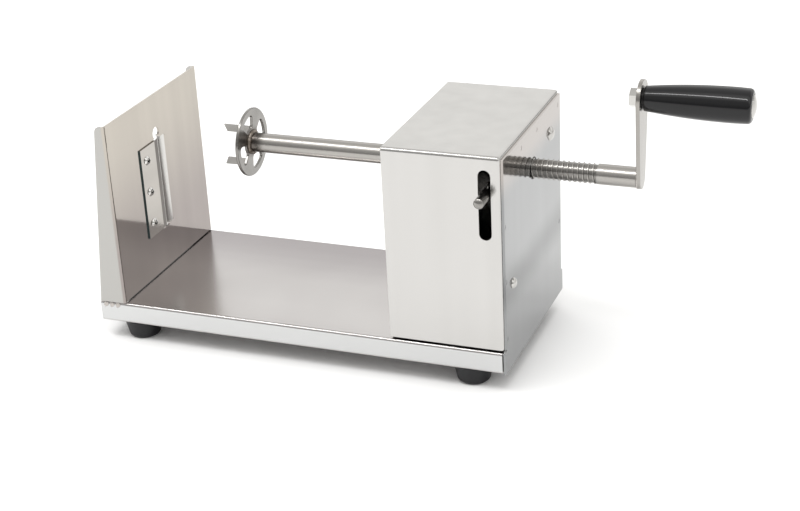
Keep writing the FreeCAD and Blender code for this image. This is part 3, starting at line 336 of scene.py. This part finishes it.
# Rubber feet: black rubber cups with a fine matt skin, each pressed against the tray's lip by a screw, a
# washer inside the cup and a nut above the lip.
def moulded(name, dark, light, roughness, skin_scale, skin_depth, gleam):
    """Solid plastic or rubber with a fine moulded skin. Gleam is the shader's specular level."""
    finish = bpy.data.materials.new(name)
    finish.use_nodes = True
    parts = finish.node_tree.nodes
    link = finish.node_tree.links.new
    shader = parts["Principled BSDF"]
    shader.inputs["Specular IOR Level"].default_value = gleam
    place = parts.new("ShaderNodeTexCoord")
    skin = parts.new("ShaderNodeTexNoise")
    skin.inputs["Scale"].default_value = skin_scale
    skin.inputs["Detail"].default_value = 3.0
    link(place.outputs["Object"], skin.inputs["Vector"])
    tint = parts.new("ShaderNodeMix")
    tint.data_type = "RGBA"
    tint.inputs["A"].default_value = (*dark, 1)
    tint.inputs["B"].default_value = (*light, 1)
    link(skin.outputs["Fac"], tint.inputs["Factor"])
    link(tint.outputs["Result"], shader.inputs["Base Color"])
    gloss = parts.new("ShaderNodeMapRange")
    gloss.inputs["To Min"].default_value = roughness * 0.8
    gloss.inputs["To Max"].default_value = roughness * 1.2
    link(skin.outputs["Fac"], gloss.inputs["Value"])
    link(gloss.outputs[0], shader.inputs["Roughness"])
    bump = parts.new("ShaderNodeBump")
    bump.inputs["Strength"].default_value = skin_depth
    bump.inputs["Distance"].default_value = 0.05 * MM
    link(skin.outputs["Fac"], bump.inputs["Height"])
    link(bump.outputs[0], shader.inputs["Normal"])
    return finish


dress("rubber_feet", moulded("foot_rubber", dark=(0.007, 0.007, 0.008), light=(0.014, 0.014, 0.016),
                             roughness=0.45, skin_scale=900, skin_depth=0.4, gleam=0.35))
bright_fastener = steel_finish("bright_fastener", dark=(0.50, 0.49, 0.47), light=(0.60, 0.59, 0.57),
                               roughness=0.15, lines=(500, 500, 500), bands=(60, 60, 60), depth=0.25,
                               edge=0.3)
for fastener in ("foot_screws", "foot_nuts", "foot_washers"):
    dress(fastener, bright_fastener)

# Blade panel: the same sheet stood upright, brushed from top to foot and polished closer to a mirror on its
# working face. Its flanges are folded back and its run-in ramp is pressed behind the blade's edge.
LINES_ALONG_Z = (1100, 1100, 14)
BANDS_ALONG_Z = (70, 70, 1.5)
panel_low, panel_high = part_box("blade_panel")
SHADE_HEIGHT = 58 * MM
SHADE_SHORT_OF_TOP = 62 * MM
BEND_RADIUS = 2 * MM
FLANGE_REACH = (12 * MM, 0, 0)
RAMP_BEHIND_FACE = 2.2 * MM
RAMP_PAST_BLADE = 9.6 * MM
RAMP_REACH = (2.1 * MM, 5.2 * MM, 41 * MM)
panel_steel = steel_finish("panel_sheet", dark=(0.435, 0.403, 0.359), light=(0.49, 0.454, 0.404),
                           roughness=0.065, lines=LINES_ALONG_Z, bands=BANDS_ALONG_Z, depth=0.2, wave=0.12)
# Painted shade: the panel's face is darker low down, fading out towards its top.
shade_reach = (0, 0, panel_high[2] - SHADE_SHORT_OF_TOP)
mark(panel_steel, (0, 0, SHADE_HEIGHT), shade_reach, colour=(0.70, 0.68, 0.73))
flange_middle = ((panel_low[0] + panel_high[0]) / 2 - BEND_RADIUS, 0, panel_high[2] / 2)
mark(panel_steel, flange_middle, FLANGE_REACH, colour=(0.435, 0.427, 0.41), core=0.9, blend="MIX",
     roughness=0.2)
blade_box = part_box("cutting_blade")
# The pressed ramp is rougher, and painted light: its colour is lightened into a light strip beside the blade.
ramp_middle = (panel_high[0] - RAMP_BEHIND_FACE, blade_box[1][1] + RAMP_PAST_BLADE,
               (blade_box[0][2] + blade_box[1][2]) / 2)
mark(panel_steel, ramp_middle, RAMP_REACH, colour=(0.64, 0.63, 0.61), core=0.95, blend="MIX", roughness=0.24)
dress("blade_panel", panel_steel)

# Welds on the panel: short beads run by hand, each a row of overlapping ripples. Two hold the flanges to the
# tray from inside, and three small tacks show outside each lower corner.
weld_finish = steel_finish("weld_bead_finish", dark=(0.13, 0.105, 0.085), light=(0.36, 0.32, 0.28),
                           roughness=0.36, lines=(600, 600, 600), bands=(200, 200, 200), depth=0.9)
tack_finish = steel_finish("weld_tack_finish", dark=(0.47, 0.435, 0.41), light=(0.60, 0.57, 0.545),
                           roughness=0.32, lines=(500, 500, 500), bands=(200, 200, 200), depth=0.9)
STEPS_PER_RIPPLE = 6
SPOKES = 12
VALLEY_SHARE = 0.82
RIPPLE_SHARE = 0.18
WANDER_SHARE = 0.12
WANDER_RATE = 2.1
WANDER_START = 1.0
BLUNT_END_SHARE = 0.45


def weld_bead(name, route, radius, ripples, body, finish, closed=False):
    """A rippled bead along a function of 0 to 1 that gives a centre and two directions across it."""
    mesh = bmesh.new()
    steps = ripples * STEPS_PER_RIPPLE
    rings = []
    for step in range(steps if closed else steps + 1):
        share = step / steps
        centre, side, up = route(share)
        ripple = abs(math.sin(share * ripples * math.pi))
        wander = WANDER_SHARE * math.sin(share * ripples * WANDER_RATE + WANDER_START)
        end = 1.0 if closed else min(1.0, BLUNT_END_SHARE + min(share, 1 - share) * ripples)
        size = radius * (VALLEY_SHARE + RIPPLE_SHARE * ripple + wander) * end
        ring = []
        for spoke in range(SPOKES):
            turn = 2 * math.pi * spoke / SPOKES
            ring.append(mesh.verts.new(centre + side * math.cos(turn) * size + up * math.sin(turn) * size))
        rings.append(ring)
    pairs = list(zip(rings, rings[1:]))
    if closed:
        pairs.append((rings[-1], rings[0]))
    for first, last in pairs:
        for spoke in range(SPOKES):
            after = (spoke + 1) % SPOKES
            mesh.faces.new((first[spoke], first[after], last[after], last[spoke]))
    if not closed:
        mesh.faces.new(rings[0][::-1])
        mesh.faces.new(rings[-1])
    bmesh.ops.recalc_face_normals(mesh, faces=mesh.faces)
    data = bpy.data.meshes.new(name)
    mesh.to_mesh(data)
    mesh.free()
    data.shade_smooth()
    bead = bpy.data.objects.new(name, data)
    bpy.context.collection.objects.link(bead)
    data.materials.append(finish)
    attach(bead, body)
    return bead


def straight(start, stop, side, up):
    first, last = Vector(start), Vector(stop)
    return lambda share: (first.lerp(last, share), Vector(side), Vector(up))


BEAD_INSET = 0.4 * MM
weld_low, weld_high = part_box("panel_welds")
for side_name, face_y, sign in (("front", weld_low[1], 1), ("back", weld_high[1], -1)):
    bead_y, bead_z = face_y + sign * BEAD_INSET, weld_low[2] + BEAD_INSET
    run = straight((weld_low[0], bead_y, bead_z), (weld_high[0], bead_y, bead_z), (0, 1, 0), (0, 0, 1))
    bead = weld_bead(f"panel_bead_{side_name}", run, radius=1.5 * MM, ripples=9, body="frame",
                     finish=weld_finish)
    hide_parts("panel_welds")
TACK_LENGTH = 4.2 * MM
TACK_STEP = 5.5 * MM
FIRST_TACK = 3.0 * MM
TACK_DROPS = (2.6 * MM, 2.2 * MM)
TACK_FLATNESS = 0.2
for side_name, face_y in (("front", tray_low[1]), ("back", tray_high[1])):
    for count in range(3):
        left = tray_low[0] + FIRST_TACK + TACK_STEP * count
        run = straight((left, face_y, tray_high[2] - TACK_DROPS[0]),
                       (left + TACK_LENGTH, face_y, tray_high[2] - TACK_DROPS[1]),
                       (0, TACK_FLATNESS, 0), (0, 0, 1))
        weld_bead(f"corner_tack_{side_name}_{count}", run, radius=2.3 * MM, ripples=2, body="frame",
                  finish=tack_finish)

# Cutting blade: a ground stainless plate with three cross-head screws and their nuts behind the panel. Its
# bevel, front narrow side and top edge carry painted shade: they are coloured dark by the way they face.
def mark_facing(finish, axis, share, slack, colour):
    """Colours only the flat faces whose direction has this share of an axis, to paint shade on them."""
    parts = finish.node_tree.nodes
    link = finish.node_tree.links.new
    shader = parts["Principled BSDF"]
    facing = parts.new("ShaderNodeNewGeometry")
    split = parts.new("ShaderNodeSeparateXYZ")
    link(facing.outputs["True Normal"], split.inputs[0])
    chosen = parts.new("ShaderNodeMath")
    chosen.operation = "COMPARE"
    chosen.inputs[1].default_value = share
    chosen.inputs[2].default_value = slack
    link(split.outputs[axis], chosen.inputs[0])
    mix = parts.new("ShaderNodeMix")
    mix.data_type = "RGBA"
    mix.inputs["B"].default_value = (*colour, 1)
    link(chosen.outputs[0], mix.inputs["Factor"])
    link(shader.inputs["Base Color"].links[0].from_socket, mix.inputs["A"])
    link(mix.outputs["Result"], shader.inputs["Base Color"])


LINES_ALONG_Y = (1100, 14, 1100)
BANDS_ALONG_Y = (70, 1.5, 70)
BEVEL_LEAN = 0.145
blade_finish = steel_finish("blade_ground_edge_shade", dark=(0.40, 0.378, 0.352), light=(0.47, 0.446, 0.416),
                            roughness=0.12, lines=LINES_ALONG_Y, bands=BANDS_ALONG_Y, depth=0.3, edge=0.1)
# Painted shade on the bevel, the front narrow side and the top edge.
for axis, share, slack, colour in (
        ("Y", BEVEL_LEAN, 0.06, (0.072, 0.060, 0.050)), ("Y", -1.0, 0.3, (0.06, 0.085, 0.09)),
        ("Z", 1.0, 0.3, (0.15, 0.132, 0.115))):
    mark_facing(blade_finish, axis, share, slack, colour)
dress("cutting_blade", blade_finish)
cross_head = steel_finish("cross_head", dark=(0.62, 0.61, 0.59), light=(0.72, 0.71, 0.69), roughness=0.10,
                          lines=(500, 500, 500), bands=(60, 60, 60), depth=0.25, edge=0.2)
# Painted shade: the walls and floor of the screws' cross recess are coloured near-black.
for share, slack in ((0.0, 0.2), (1.0, 0.0005)):
    mark_facing(cross_head, "X", share, slack, colour=(0.03, 0.028, 0.026))
dress("blade_screws", cross_head)
dress("blade_nuts", bright_fastener)

# Housing cover: one stainless sheet folded over the top with its right end turned in. It is brushed upright
# and stands on the tray.
COVER_TOP_SHADE_REACH = (0, 0, 3 * MM)
cover_steel = steel_finish("cover_sheet", dark=(0.54, 0.531, 0.517), light=(0.59, 0.580, 0.566),
                           roughness=0.18, lines=LINES_ALONG_Z, bands=BANDS_ALONG_Z, depth=0.3, wave=0.08)
# Painted shade: the cover is darkened across its top and along its top fold.
mark(cover_steel, (0, 0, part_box("housing_cover")[1][2]), COVER_TOP_SHADE_REACH, colour=(0.86, 0.86, 0.855),
     core=0.5)
dress("housing_cover", cover_steel)

# Inner wall and bushes: a stainless sheet closes the housing on the fork's side. A turned bush of natural
# acetal guides the tube in it, and another behind the end plate.
dress("inner_wall", steel_finish("wall_sheet", dark=(0.45, 0.43, 0.41), light=(0.52, 0.50, 0.48),
                                 roughness=0.20, lines=LINES_ALONG_Z, bands=BANDS_ALONG_Z, depth=0.3,
                                 wave=0.2))
bush_plastic = moulded("bush_acetal", dark=(0.72, 0.71, 0.68), light=(0.80, 0.79, 0.76), roughness=0.45,
                       skin_scale=300, skin_depth=0.2, gleam=0.5)
for bush in ("front_bush", "rear_bush"):
    dress(bush, bush_plastic)

# End plate: a flat stainless sheet of a cooler batch, polished to a mirror. It is spot-welded to the cover's
# flanges.
WARM_TOP_REFLECTION_REACH = (0, 0, 35 * MM)
SHADE_BAND_MIDDLE = (0, 0, 83 * MM)
SHADE_BAND_REACH = (0, 0, 24 * MM)
end_steel = steel_finish("end_sheet", dark=(0.275, 0.279, 0.282), light=(0.310, 0.315, 0.319), roughness=0.08,
                         lines=LINES_ALONG_Z, bands=BANDS_ALONG_Z, depth=0.2, wave=0.2)
# Painted reflection: the end plate is lighter and warmer towards its top.
mark(end_steel, (0, 0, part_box("end_plate")[1][2]), WARM_TOP_REFLECTION_REACH, colour=(0.40, 0.372, 0.352), core=0.3,
     blend="MIX")
# Painted shade: a soft dark band across the end plate's middle, a painted reflection of shade.
mark(end_steel, SHADE_BAND_MIDDLE, SHADE_BAND_REACH, colour=(0.68, 0.68, 0.68))
dress("end_plate", end_steel)


# Spindle tube: thick drawn stainless tube, turned bright and threaded. Welding has tinted it brown at the
# fork's end.
HEAT_BROWN = (0.07, 0.052, 0.042, 1)
TINT_SWAY = 6 * MM
TINT_CORE = 10 * MM


def heat_tint_group():
    group, entry, leave = group_with(
        "heat_tint", (("Base", "Color"), ("Hub", "Vector"), ("Reach", "Float")), (("Tinted", "Color"),))
    parts = group.nodes
    link = group.links.new
    place = parts.new("ShaderNodeTexCoord")
    away = parts.new("ShaderNodeVectorMath")
    away.operation = "DISTANCE"
    link(place.outputs["Object"], away.inputs[0])
    link(entry.outputs["Hub"], away.inputs[1])
    uneven = parts.new("ShaderNodeTexNoise")
    uneven.inputs["Scale"].default_value = 160.0
    sway = parts.new("ShaderNodeMath")
    sway.operation = "MULTIPLY_ADD"
    sway.inputs[1].default_value = TINT_SWAY
    link(uneven.outputs["Fac"], sway.inputs[0])
    link(away.outputs["Value"], sway.inputs[2])
    spread = parts.new("ShaderNodeMapRange")
    spread.inputs["From Min"].default_value = TINT_CORE
    spread.inputs["To Min"].default_value = 0.95
    spread.inputs["To Max"].default_value = 0.0
    link(sway.outputs[0], spread.inputs["Value"])
    link(entry.outputs["Reach"], spread.inputs["From Max"])
    mix = parts.new("ShaderNodeMix")
    mix.data_type = "RGBA"
    mix.inputs["B"].default_value = HEAT_BROWN
    link(spread.outputs[0], mix.inputs["Factor"])
    link(entry.outputs["Base"], mix.inputs["A"])
    link(mix.outputs["Result"], leave.inputs["Tinted"])
    return group


heat_tint = heat_tint_group()
tube_low, tube_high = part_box("spindle_tube")
AXIS_HEIGHT = next(joint["pos_m"][2] for joint in frame["joints"] if joint["name"] == "crank_spin")
HUB = (tube_low[0], 0, AXIS_HEIGHT)


def tint_by_heat(finish, reach):
    parts = finish.node_tree.nodes
    link = finish.node_tree.links.new
    shader = parts["Principled BSDF"]
    tint = parts.new("ShaderNodeGroup")
    tint.node_tree = heat_tint
    tint.inputs["Hub"].default_value = HUB
    tint.inputs["Reach"].default_value = reach
    link(shader.inputs["Base Color"].links[0].from_socket, tint.inputs["Base"])
    link(tint.outputs["Tinted"], shader.inputs["Base Color"])
    return finish


tube_steel = steel_finish("tube_polish", dark=(0.36, 0.345, 0.325), light=(0.42, 0.405, 0.385),
                          roughness=0.24, lines=(30, 900, 900), bands=(2, 160, 160), depth=0.35, edge=0.2)
tint_by_heat(tube_steel, reach=18 * MM)


def shade_grooves(finish, floor_radius, crest_radius, shade):
    """Painted shade: darkens the finish towards the thread's floor, by the distance from the spindle's axis.
    """
    parts = finish.node_tree.nodes
    link = finish.node_tree.links.new
    shader = parts["Principled BSDF"]
    place = parts.new("ShaderNodeTexCoord")
    off_axis = parts.new("ShaderNodeVectorMath")
    off_axis.operation = "SUBTRACT"
    off_axis.inputs[1].default_value = (0, 0, AXIS_HEIGHT)
    link(place.outputs["Object"], off_axis.inputs[0])
    across = parts.new("ShaderNodeVectorMath")
    across.operation = "MULTIPLY"
    across.inputs[1].default_value = (0, 1, 1)
    link(off_axis.outputs[0], across.inputs[0])
    away = parts.new("ShaderNodeVectorMath")
    away.operation = "LENGTH"
    link(across.outputs[0], away.inputs[0])
    depth = parts.new("ShaderNodeMapRange")
    depth.inputs["From Min"].default_value = floor_radius
    depth.inputs["From Max"].default_value = crest_radius
    depth.inputs["To Min"].default_value = 1.0
    depth.inputs["To Max"].default_value = 0.0
    link(away.outputs["Value"], depth.inputs["Value"])
    mix = parts.new("ShaderNodeMix")
    mix.data_type = "RGBA"
    mix.blend_type = "MULTIPLY"
    mix.inputs["B"].default_value = (shade, shade, shade, 1)
    link(depth.outputs[0], mix.inputs["Factor"])
    link(shader.inputs["Base Color"].links[0].from_socket, mix.inputs["A"])
    link(mix.outputs["Result"], shader.inputs["Base Color"])


shade_grooves(tube_steel, floor_radius=7.2 * MM, crest_radius=7.9 * MM, shade=0.6)
dress("spindle_tube", tube_steel)

# Fork: a stamped and tumbled stainless disc with two flat prongs. A dark rippled bead round the tube welds
# it on.
fork_steel = steel_finish("fork_stamped", dark=(0.23, 0.222, 0.210), light=(0.33, 0.320, 0.306),
                          roughness=0.22, lines=(240, 240, 240), bands=(60, 60, 60), depth=0.4, edge=0.3)
dress("fork_prongs", fork_steel.copy())
dress("fork_disc", tint_by_heat(fork_steel, reach=17 * MM))
dress("fork_weld", weld_finish)


def round_tube(x, radius, height):
    """A closed ring round the spindle's axis at a place along it."""
    def spot(share):
        turn = 2 * math.pi * share
        out = Vector((0, math.cos(turn), math.sin(turn)))
        return Vector((x, 0, height)) + out * radius, Vector((1, 0, 0)), out
    return spot


HUB_BEAD_INSET = 0.3 * MM
hub_run = round_tube(tube_low[0] + HUB_BEAD_INSET, radius=8.4 * MM, height=AXIS_HEIGHT)
weld_bead("hub_bead", hub_run, radius=1.9 * MM, ripples=20, body="spindle", finish=weld_finish, closed=True)

# Crank arm: a tapered stainless strap, polished with its long edges broken. It is welded across the tube's
# end by a fine bright bead.
ARM_BEAD_INSET = 0.1 * MM
dress("crank_arm", steel_finish("arm_strap", dark=(0.31, 0.295, 0.275), light=(0.38, 0.365, 0.345),
                                roughness=0.24, lines=LINES_ALONG_Z, bands=BANDS_ALONG_Z, depth=0.3,
                                edge=0.6))
arm_run = round_tube(tube_high[0] - ARM_BEAD_INSET, radius=8.0 * MM, height=AXIS_HEIGHT)
arm_bead = weld_bead("arm_bead", arm_run, radius=0.8 * MM, ripples=26, body="spindle", finish=tack_finish,
                     closed=True)
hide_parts("arm_weld")

# Grip: a glossy black barrel turned from thermoset plastic, free to spin on a bright shouldered bolt whose
# domed cap closes its end. A nut and a washer hold the bolt in the arm's eye.
dress("grip", moulded("grip_plastic", dark=(0.003, 0.003, 0.0035), light=(0.006, 0.006, 0.007),
                      roughness=0.09, skin_scale=400, skin_depth=0.05, gleam=0.42))
for fastener in ("grip_bolt", "grip_nut"):
    dress(fastener, bright_fastener)
dress("grip_washer", moulded("washer_black", dark=(0.010, 0.010, 0.011), light=(0.018, 0.018, 0.020),
                             roughness=0.4, skin_scale=900, skin_depth=0.2, gleam=0.4))

# Release lever: a plain cut steel plate behind the slot. The finger lifts it by a satin round pin, welded
# astride its nose.
lever_steel = steel_finish("lever_plate", dark=(0.20, 0.195, 0.185), light=(0.28, 0.272, 0.26), roughness=0.3,
                           lines=LINES_ALONG_Y, bands=BANDS_ALONG_Y, depth=0.4)
for lever_piece in ("release_lever", "spring_post"):
    dress(lever_piece, lever_steel)
dress("lever_pin", steel_finish("pin_satin", dark=(0.28, 0.27, 0.255), light=(0.36, 0.35, 0.335),
                                roughness=0.26, lines=(600, 60, 600), bands=(70, 3, 70), depth=0.3, edge=0.3))

# Lever pivot and spring anchor: bright round-head screws through the end plate, with a spacer, a washer and
# nuts inside. The return spring between anchor and lever is drawn wire.
for fastener in ("pivot_screw", "pivot_spacer", "pivot_washer", "pivot_nut", "anchor_screw", "anchor_nut"):
    dress(fastener, bright_fastener)
dress("return_spring", steel_finish("spring_wire", dark=(0.38, 0.38, 0.38), light=(0.48, 0.48, 0.48),
                                    roughness=0.22, lines=(700, 700, 700), bands=(200, 200, 200), depth=0.3,
                                    edge=0.1))
